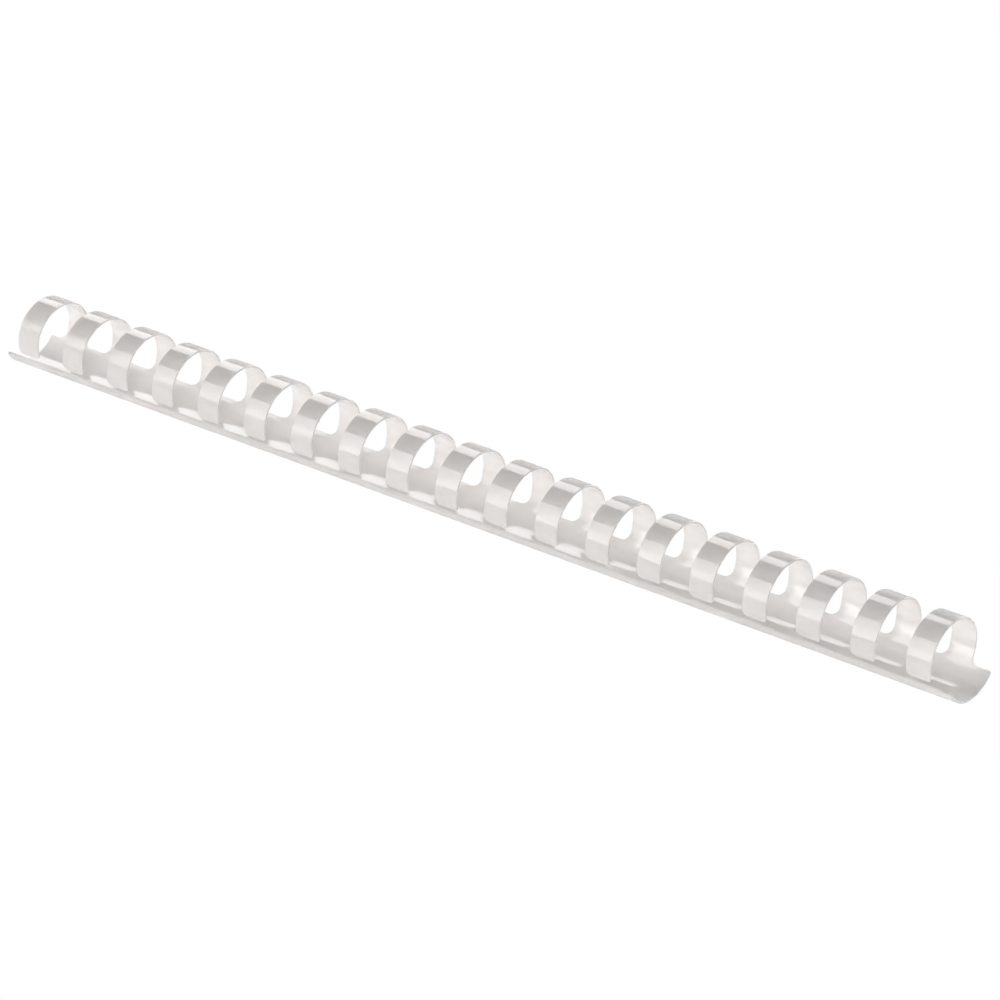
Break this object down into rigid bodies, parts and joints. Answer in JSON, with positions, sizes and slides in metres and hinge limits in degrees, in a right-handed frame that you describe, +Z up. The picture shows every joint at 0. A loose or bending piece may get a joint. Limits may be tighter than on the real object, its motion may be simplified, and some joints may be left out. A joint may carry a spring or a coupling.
{
  "type": "plastic binding comb",
  "caption": "Curled plastic binding comb: a long trough-shaped spine with a row of springy fingers rooted along one edge and curled over into rings, for punched sheets.",
  "frame": {"origin": "middle of the flat along the outside of the spine, straight below the middle ring", "axes": "+X along the comb, +Y towards the edge where the fingers are rooted, +Z up from the spine through the rings"},
  "size_m": [0.2729, 0.0188, 0.0175],
  "materials": {
    "pvc": "smooth glossy white PVC, slightly translucent"
  },
  "bodies": {
    "spine": {"spine": "pvc"},
    "ring_01_root": {"ring_01_root": "pvc"},
    "ring_01_crown": {"ring_01_crown": "pvc"},
    "ring_01_tip": {"ring_01_tip": "pvc"},
    "ring_02_root": {"ring_02_root": "pvc"},
    "ring_02_crown": {"ring_02_crown": "pvc"},
    "ring_02_tip": {"ring_02_tip": "pvc"},
    "ring_03_root": {"ring_03_root": "pvc"},
    "ring_03_crown": {"ring_03_crown": "pvc"},
    "ring_03_tip": {"ring_03_tip": "pvc"},
    "ring_04_root": {"ring_04_root": "pvc"},
    "ring_04_crown": {"ring_04_crown": "pvc"},
    "ring_04_tip": {"ring_04_tip": "pvc"},
    "ring_05_root": {"ring_05_root": "pvc"},
    "ring_05_crown": {"ring_05_crown": "pvc"},
    "ring_05_tip": {"ring_05_tip": "pvc"},
    "ring_06_root": {"ring_06_root": "pvc"},
    "ring_06_crown": {"ring_06_crown": "pvc"},
    "ring_06_tip": {"ring_06_tip": "pvc"},
    "ring_07_root": {"ring_07_root": "pvc"},
    "ring_07_crown": {"ring_07_crown": "pvc"},
    "ring_07_tip": {"ring_07_tip": "pvc"},
    "ring_08_root": {"ring_08_root": "pvc"},
    "ring_08_crown": {"ring_08_crown": "pvc"},
    "ring_08_tip": {"ring_08_tip": "pvc"},
    "ring_09_root": {"ring_09_root": "pvc"},
    "ring_09_crown": {"ring_09_crown": "pvc"},
    "ring_09_tip": {"ring_09_tip": "pvc"},
    "ring_10_root": {"ring_10_root": "pvc"},
    "ring_10_crown": {"ring_10_crown": "pvc"},
    "ring_10_tip": {"ring_10_tip": "pvc"},
    "ring_11_root": {"ring_11_root": "pvc"},
    "ring_11_crown": {"ring_11_crown": "pvc"},
    "ring_11_tip": {"ring_11_tip": "pvc"},
    "ring_12_root": {"ring_12_root": "pvc"},
    "ring_12_crown": {"ring_12_crown": "pvc"},
    "ring_12_tip": {"ring_12_tip": "pvc"},
    "ring_13_root": {"ring_13_root": "pvc"},
    "ring_13_crown": {"ring_13_crown": "pvc"},
    "ring_13_tip": {"ring_13_tip": "pvc"},
    "ring_14_root": {"ring_14_root": "pvc"},
    "ring_14_crown": {"ring_14_crown": "pvc"},
    "ring_14_tip": {"ring_14_tip": "pvc"},
    "ring_15_root": {"ring_15_root": "pvc"},
    "ring_15_crown": {"ring_15_crown": "pvc"},
    "ring_15_tip": {"ring_15_tip": "pvc"},
    "ring_16_root": {"ring_16_root": "pvc"},
    "ring_16_crown": {"ring_16_crown": "pvc"},
    "ring_16_tip": {"ring_16_tip": "pvc"},
    "ring_17_root": {"ring_17_root": "pvc"},
    "ring_17_crown": {"ring_17_crown": "pvc"},
    "ring_17_tip": {"ring_17_tip": "pvc"},
    "ring_18_root": {"ring_18_root": "pvc"},
    "ring_18_crown": {"ring_18_crown": "pvc"},
    "ring_18_tip": {"ring_18_tip": "pvc"},
    "ring_19_root": {"ring_19_root": "pvc"},
    "ring_19_crown": {"ring_19_crown": "pvc"},
    "ring_19_tip": {"ring_19_tip": "pvc"}
  },
  "joints": [
    {"name": "ring_01_open", "type": "hinge", "parent": "spine", "child": "ring_01_root", "pos_m": [-0.12859, 0.00909, 0.00554], "axis": [-1, 0, 0], "range_deg": [0, 10], "stiffness_Nm_per_rad": 0.03},
    {"name": "ring_01_crown_bend", "type": "hinge", "parent": "ring_01_root", "child": "ring_01_crown", "pos_m": [-0.12859, 0.00776, 0.01408], "axis": [-1, 0, 0], "range_deg": [0, 25], "stiffness_Nm_per_rad": 0.01},
    {"name": "ring_01_tip_bend", "type": "hinge", "parent": "ring_01_crown", "child": "ring_01_tip", "pos_m": [-0.12859, -0.0057, 0.01558], "axis": [-1, 0, 0], "range_deg": [0, 25], "stiffness_Nm_per_rad": 0.01},
    {"name": "ring_02_open", "type": "hinge", "parent": "spine", "child": "ring_02_root", "pos_m": [-0.1143, 0.00909, 0.00554], "axis": [-1, 0, 0], "range_deg": [0, 10], "stiffness_Nm_per_rad": 0.03},
    {"name": "ring_02_crown_bend", "type": "hinge", "parent": "ring_02_root", "child": "ring_02_crown", "pos_m": [-0.1143, 0.00776, 0.01408], "axis": [-1, 0, 0], "range_deg": [0, 25], "stiffness_Nm_per_rad": 0.01},
    {"name": "ring_02_tip_bend", "type": "hinge", "parent": "ring_02_crown", "child": "ring_02_tip", "pos_m": [-0.1143, -0.0057, 0.01558], "axis": [-1, 0, 0], "range_deg": [0, 25], "stiffness_Nm_per_rad": 0.01},
    {"name": "ring_03_open", "type": "hinge", "parent": "spine", "child": "ring_03_root", "pos_m": [-0.10001, 0.00909, 0.00554], "axis": [-1, 0, 0], "range_deg": [0, 10], "stiffness_Nm_per_rad": 0.03},
    {"name": "ring_03_crown_bend", "type": "hinge", "parent": "ring_03_root", "child": "ring_03_crown", "pos_m": [-0.10001, 0.00776, 0.01408], "axis": [-1, 0, 0], "range_deg": [0, 25], "stiffness_Nm_per_rad": 0.01},
    {"name": "ring_03_tip_bend", "type": "hinge", "parent": "ring_03_crown", "child": "ring_03_tip", "pos_m": [-0.10001, -0.0057, 0.01558], "axis": [-1, 0, 0], "range_deg": [0, 25], "stiffness_Nm_per_rad": 0.01},
    {"name": "ring_04_open", "type": "hinge", "parent": "spine", "child": "ring_04_root", "pos_m": [-0.08572, 0.00909, 0.00554], "axis": [-1, 0, 0], "range_deg": [0, 10], "stiffness_Nm_per_rad": 0.03},
    {"name": "ring_04_crown_bend", "type": "hinge", "parent": "ring_04_root", "child": "ring_04_crown", "pos_m": [-0.08572, 0.00776, 0.01408], "axis": [-1, 0, 0], "range_deg": [0, 25], "stiffness_Nm_per_rad": 0.01},
    {"name": "ring_04_tip_bend", "type": "hinge", "parent": "ring_04_crown", "child": "ring_04_tip", "pos_m": [-0.08572, -0.0057, 0.01558], "axis": [-1, 0, 0], "range_deg": [0, 25], "stiffness_Nm_per_rad": 0.01},
    {"name": "ring_05_open", "type": "hinge", "parent": "spine", "child": "ring_05_root", "pos_m": [-0.07144, 0.00909, 0.00554], "axis": [-1, 0, 0], "range_deg": [0, 10], "stiffness_Nm_per_rad": 0.03},
    {"name": "ring_05_crown_bend", "type": "hinge", "parent": "ring_05_root", "child": "ring_05_crown", "pos_m": [-0.07144, 0.00776, 0.01408], "axis": [-1, 0, 0], "range_deg": [0, 25], "stiffness_Nm_per_rad": 0.01},
    {"name": "ring_05_tip_bend", "type": "hinge", "parent": "ring_05_crown", "child": "ring_05_tip", "pos_m": [-0.07144, -0.0057, 0.01558], "axis": [-1, 0, 0], "range_deg": [0, 25], "stiffness_Nm_per_rad": 0.01},
    {"name": "ring_06_open", "type": "hinge", "parent": "spine", "child": "ring_06_root", "pos_m": [-0.05715, 0.00909, 0.00554], "axis": [-1, 0, 0], "range_deg": [0, 10], "stiffness_Nm_per_rad": 0.03},
    {"name": "ring_06_crown_bend", "type": "hinge", "parent": "ring_06_root", "child": "ring_06_crown", "pos_m": [-0.05715, 0.00776, 0.01408], "axis": [-1, 0, 0], "range_deg": [0, 25], "stiffness_Nm_per_rad": 0.01},
    {"name": "ring_06_tip_bend", "type": "hinge", "parent": "ring_06_crown", "child": "ring_06_tip", "pos_m": [-0.05715, -0.0057, 0.01558], "axis": [-1, 0, 0], "range_deg": [0, 25], "stiffness_Nm_per_rad": 0.01},
    {"name": "ring_07_open", "type": "hinge", "parent": "spine", "child": "ring_07_root", "pos_m": [-0.04286, 0.00909, 0.00554], "axis": [-1, 0, 0], "range_deg": [0, 10], "stiffness_Nm_per_rad": 0.03},
    {"name": "ring_07_crown_bend", "type": "hinge", "parent": "ring_07_root", "child": "ring_07_crown", "pos_m": [-0.04286, 0.00776, 0.01408], "axis": [-1, 0, 0], "range_deg": [0, 25], "stiffness_Nm_per_rad": 0.01},
    {"name": "ring_07_tip_bend", "type": "hinge", "parent": "ring_07_crown", "child": "ring_07_tip", "pos_m": [-0.04286, -0.0057, 0.01558], "axis": [-1, 0, 0], "range_deg": [0, 25], "stiffness_Nm_per_rad": 0.01},
    {"name": "ring_08_open", "type": "hinge", "parent": "spine", "child": "ring_08_root", "pos_m": [-0.02857, 0.00909, 0.00554], "axis": [-1, 0, 0], "range_deg": [0, 10], "stiffness_Nm_per_rad": 0.03},
    {"name": "ring_08_crown_bend", "type": "hinge", "parent": "ring_08_root", "child": "ring_08_crown", "pos_m": [-0.02857, 0.00776, 0.01408], "axis": [-1, 0, 0], "range_deg": [0, 25], "stiffness_Nm_per_rad": 0.01},
    {"name": "ring_08_tip_bend", "type": "hinge", "parent": "ring_08_crown", "child": "ring_08_tip", "pos_m": [-0.02857, -0.0057, 0.01558], "axis": [-1, 0, 0], "range_deg": [0, 25], "stiffness_Nm_per_rad": 0.01},
    {"name": "ring_09_open", "type": "hinge", "parent": "spine", "child": "ring_09_root", "pos_m": [-0.01429, 0.00909, 0.00554], "axis": [-1, 0, 0], "range_deg": [0, 10], "stiffness_Nm_per_rad": 0.03},
    {"name": "ring_09_crown_bend", "type": "hinge", "parent": "ring_09_root", "child": "ring_09_crown", "pos_m": [-0.01429, 0.00776, 0.01408], "axis": [-1, 0, 0], "range_deg": [0, 25], "stiffness_Nm_per_rad": 0.01},
    {"name": "ring_09_tip_bend", "type": "hinge", "parent": "ring_09_crown", "child": "ring_09_tip", "pos_m": [-0.01429, -0.0057, 0.01558], "axis": [-1, 0, 0], "range_deg": [0, 25], "stiffness_Nm_per_rad": 0.01},
    {"name": "ring_10_open", "type": "hinge", "parent": "spine", "child": "ring_10_root", "pos_m": [0, 0.00909, 0.00554], "axis": [-1, 0, 0], "range_deg": [0, 10], "stiffness_Nm_per_rad": 0.03},
    {"name": "ring_10_crown_bend", "type": "hinge", "parent": "ring_10_root", "child": "ring_10_crown", "pos_m": [0, 0.00776, 0.01408], "axis": [-1, 0, 0], "range_deg": [0, 25], "stiffness_Nm_per_rad": 0.01},
    {"name": "ring_10_tip_bend", "type": "hinge", "parent": "ring_10_crown", "child": "ring_10_tip", "pos_m": [0, -0.0057, 0.01558], "axis": [-1, 0, 0], "range_deg": [0, 25], "stiffness_Nm_per_rad": 0.01},
    {"name": "ring_11_open", "type": "hinge", "parent": "spine", "child": "ring_11_root", "pos_m": [0.01429, 0.00909, 0.00554], "axis": [-1, 0, 0], "range_deg": [0, 10], "stiffness_Nm_per_rad": 0.03},
    {"name": "ring_11_crown_bend", "type": "hinge", "parent": "ring_11_root", "child": "ring_11_crown", "pos_m": [0.01429, 0.00776, 0.01408], "axis": [-1, 0, 0], "range_deg": [0, 25], "stiffness_Nm_per_rad": 0.01},
    {"name": "ring_11_tip_bend", "type": "hinge", "parent": "ring_11_crown", "child": "ring_11_tip", "pos_m": [0.01429, -0.0057, 0.01558], "axis": [-1, 0, 0], "range_deg": [0, 25], "stiffness_Nm_per_rad": 0.01},
    {"name": "ring_12_open", "type": "hinge", "parent": "spine", "child": "ring_12_root", "pos_m": [0.02857, 0.00909, 0.00554], "axis": [-1, 0, 0], "range_deg": [0, 10], "stiffness_Nm_per_rad": 0.03},
    {"name": "ring_12_crown_bend", "type": "hinge", "parent": "ring_12_root", "child": "ring_12_crown", "pos_m": [0.02857, 0.00776, 0.01408], "axis": [-1, 0, 0], "range_deg": [0, 25], "stiffness_Nm_per_rad": 0.01},
    {"name": "ring_12_tip_bend", "type": "hinge", "parent": "ring_12_crown", "child": "ring_12_tip", "pos_m": [0.02857, -0.0057, 0.01558], "axis": [-1, 0, 0], "range_deg": [0, 25], "stiffness_Nm_per_rad": 0.01},
    {"name": "ring_13_open", "type": "hinge", "parent": "spine", "child": "ring_13_root", "pos_m": [0.04286, 0.00909, 0.00554], "axis": [-1, 0, 0], "range_deg": [0, 10], "stiffness_Nm_per_rad": 0.03},
    {"name": "ring_13_crown_bend", "type": "hinge", "parent": "ring_13_root", "child": "ring_13_crown", "pos_m": [0.04286, 0.00776, 0.01408], "axis": [-1, 0, 0], "range_deg": [0, 25], "stiffness_Nm_per_rad": 0.01},
    {"name": "ring_13_tip_bend", "type": "hinge", "parent": "ring_13_crown", "child": "ring_13_tip", "pos_m": [0.04286, -0.0057, 0.01558], "axis": [-1, 0, 0], "range_deg": [0, 25], "stiffness_Nm_per_rad": 0.01},
    {"name": "ring_14_open", "type": "hinge", "parent": "spine", "child": "ring_14_root", "pos_m": [0.05715, 0.00909, 0.00554], "axis": [-1, 0, 0], "range_deg": [0, 10], "stiffness_Nm_per_rad": 0.03},
    {"name": "ring_14_crown_bend", "type": "hinge", "parent": "ring_14_root", "child": "ring_14_crown", "pos_m": [0.05715, 0.00776, 0.01408], "axis": [-1, 0, 0], "range_deg": [0, 25], "stiffness_Nm_per_rad": 0.01},
    {"name": "ring_14_tip_bend", "type": "hinge", "parent": "ring_14_crown", "child": "ring_14_tip", "pos_m": [0.05715, -0.0057, 0.01558], "axis": [-1, 0, 0], "range_deg": [0, 25], "stiffness_Nm_per_rad": 0.01},
    {"name": "ring_15_open", "type": "hinge", "parent": "spine", "child": "ring_15_root", "pos_m": [0.07144, 0.00909, 0.00554], "axis": [-1, 0, 0], "range_deg": [0, 10], "stiffness_Nm_per_rad": 0.03},
    {"name": "ring_15_crown_bend", "type": "hinge", "parent": "ring_15_root", "child": "ring_15_crown", "pos_m": [0.07144, 0.00776, 0.01408], "axis": [-1, 0, 0], "range_deg": [0, 25], "stiffness_Nm_per_rad": 0.01},
    {"name": "ring_15_tip_bend", "type": "hinge", "parent": "ring_15_crown", "child": "ring_15_tip", "pos_m": [0.07144, -0.0057, 0.01558], "axis": [-1, 0, 0], "range_deg": [0, 25], "stiffness_Nm_per_rad": 0.01},
    {"name": "ring_16_open", "type": "hinge", "parent": "spine", "child": "ring_16_root", "pos_m": [0.08572, 0.00909, 0.00554], "axis": [-1, 0, 0], "range_deg": [0, 10], "stiffness_Nm_per_rad": 0.03},
    {"name": "ring_16_crown_bend", "type": "hinge", "parent": "ring_16_root", "child": "ring_16_crown", "pos_m": [0.08572, 0.00776, 0.01408], "axis": [-1, 0, 0], "range_deg": [0, 25], "stiffness_Nm_per_rad": 0.01},
    {"name": "ring_16_tip_bend", "type": "hinge", "parent": "ring_16_crown", "child": "ring_16_tip", "pos_m": [0.08572, -0.0057, 0.01558], "axis": [-1, 0, 0], "range_deg": [0, 25], "stiffness_Nm_per_rad": 0.01},
    {"name": "ring_17_open", "type": "hinge", "parent": "spine", "child": "ring_17_root", "pos_m": [0.10001, 0.00909, 0.00554], "axis": [-1, 0, 0], "range_deg": [0, 10], "stiffness_Nm_per_rad": 0.03},
    {"name": "ring_17_crown_bend", "type": "hinge", "parent": "ring_17_root", "child": "ring_17_crown", "pos_m": [0.10001, 0.00776, 0.01408], "axis": [-1, 0, 0], "range_deg": [0, 25], "stiffness_Nm_per_rad": 0.01},
    {"name": "ring_17_tip_bend", "type": "hinge", "parent": "ring_17_crown", "child": "ring_17_tip", "pos_m": [0.10001, -0.0057, 0.01558], "axis": [-1, 0, 0], "range_deg": [0, 25], "stiffness_Nm_per_rad": 0.01},
    {"name": "ring_18_open", "type": "hinge", "parent": "spine", "child": "ring_18_root", "pos_m": [0.1143, 0.00909, 0.00554], "axis": [-1, 0, 0], "range_deg": [0, 10], "stiffness_Nm_per_rad": 0.03},
    {"name": "ring_18_crown_bend", "type": "hinge", "parent": "ring_18_root", "child": "ring_18_crown", "pos_m": [0.1143, 0.00776, 0.01408], "axis": [-1, 0, 0], "range_deg": [0, 25], "stiffness_Nm_per_rad": 0.01},
    {"name": "ring_18_tip_bend", "type": "hinge", "parent": "ring_18_crown", "child": "ring_18_tip", "pos_m": [0.1143, -0.0057, 0.01558], "axis": [-1, 0, 0], "range_deg": [0, 25], "stiffness_Nm_per_rad": 0.01},
    {"name": "ring_19_open", "type": "hinge", "parent": "spine", "child": "ring_19_root", "pos_m": [0.12859, 0.00909, 0.00554], "axis": [-1, 0, 0], "range_deg": [0, 10], "stiffness_Nm_per_rad": 0.03},
    {"name": "ring_19_crown_bend", "type": "hinge", "parent": "ring_19_root", "child": "ring_19_crown", "pos_m": [0.12859, 0.00776, 0.01408], "axis": [-1, 0, 0], "range_deg": [0, 25], "stiffness_Nm_per_rad": 0.01},
    {"name": "ring_19_tip_bend", "type": "hinge", "parent": "ring_19_crown", "child": "ring_19_tip", "pos_m": [0.12859, -0.0057, 0.01558], "axis": [-1, 0, 0], "range_deg": [0, 25], "stiffness_Nm_per_rad": 0.01}
  ],
  "couplings": [
    {"joint": "ring_01_crown_bend", "follows": "ring_01_open", "ratio": 2.5},
    {"joint": "ring_01_tip_bend", "follows": "ring_01_open", "ratio": 2.5},
    {"joint": "ring_02_crown_bend", "follows": "ring_02_open", "ratio": 2.5},
    {"joint": "ring_02_tip_bend", "follows": "ring_02_open", "ratio": 2.5},
    {"joint": "ring_03_crown_bend", "follows": "ring_03_open", "ratio": 2.5},
    {"joint": "ring_03_tip_bend", "follows": "ring_03_open", "ratio": 2.5},
    {"joint": "ring_04_crown_bend", "follows": "ring_04_open", "ratio": 2.5},
    {"joint": "ring_04_tip_bend", "follows": "ring_04_open", "ratio": 2.5},
    {"joint": "ring_05_crown_bend", "follows": "ring_05_open", "ratio": 2.5},
    {"joint": "ring_05_tip_bend", "follows": "ring_05_open", "ratio": 2.5},
    {"joint": "ring_06_crown_bend", "follows": "ring_06_open", "ratio": 2.5},
    {"joint": "ring_06_tip_bend", "follows": "ring_06_open", "ratio": 2.5},
    {"joint": "ring_07_crown_bend", "follows": "ring_07_open", "ratio": 2.5},
    {"joint": "ring_07_tip_bend", "follows": "ring_07_open", "ratio": 2.5},
    {"joint": "ring_08_crown_bend", "follows": "ring_08_open", "ratio": 2.5},
    {"joint": "ring_08_tip_bend", "follows": "ring_08_open", "ratio": 2.5},
    {"joint": "ring_09_crown_bend", "follows": "ring_09_open", "ratio": 2.5},
    {"joint": "ring_09_tip_bend", "follows": "ring_09_open", "ratio": 2.5},
    {"joint": "ring_10_crown_bend", "follows": "ring_10_open", "ratio": 2.5},
    {"joint": "ring_10_tip_bend", "follows": "ring_10_open", "ratio": 2.5},
    {"joint": "ring_11_crown_bend", "follows": "ring_11_open", "ratio": 2.5},
    {"joint": "ring_11_tip_bend", "follows": "ring_11_open", "ratio": 2.5},
    {"joint": "ring_12_crown_bend", "follows": "ring_12_open", "ratio": 2.5},
    {"joint": "ring_12_tip_bend", "follows": "ring_12_open", "ratio": 2.5},
    {"joint": "ring_13_crown_bend", "follows": "ring_13_open", "ratio": 2.5},
    {"joint": "ring_13_tip_bend", "follows": "ring_13_open", "ratio": 2.5},
    {"joint": "ring_14_crown_bend", "follows": "ring_14_open", "ratio": 2.5},
    {"joint": "ring_14_tip_bend", "follows": "ring_14_open", "ratio": 2.5},
    {"joint": "ring_15_crown_bend", "follows": "ring_15_open", "ratio": 2.5},
    {"joint": "ring_15_tip_bend", "follows": "ring_15_open", "ratio": 2.5},
    {"joint": "ring_16_crown_bend", "follows": "ring_16_open", "ratio": 2.5},
    {"joint": "ring_16_tip_bend", "follows": "ring_16_open", "ratio": 2.5},
    {"joint": "ring_17_crown_bend", "follows": "ring_17_open", "ratio": 2.5},
    {"joint": "ring_17_tip_bend", "follows": "ring_17_open", "ratio": 2.5},
    {"joint": "ring_18_crown_bend", "follows": "ring_18_open", "ratio": 2.5},
    {"joint": "ring_18_tip_bend", "follows": "ring_18_open", "ratio": 2.5},
    {"joint": "ring_19_crown_bend", "follows": "ring_19_open", "ratio": 2.5},
    {"joint": "ring_19_tip_bend", "follows": "ring_19_open", "ratio": 2.5}
  ]
}
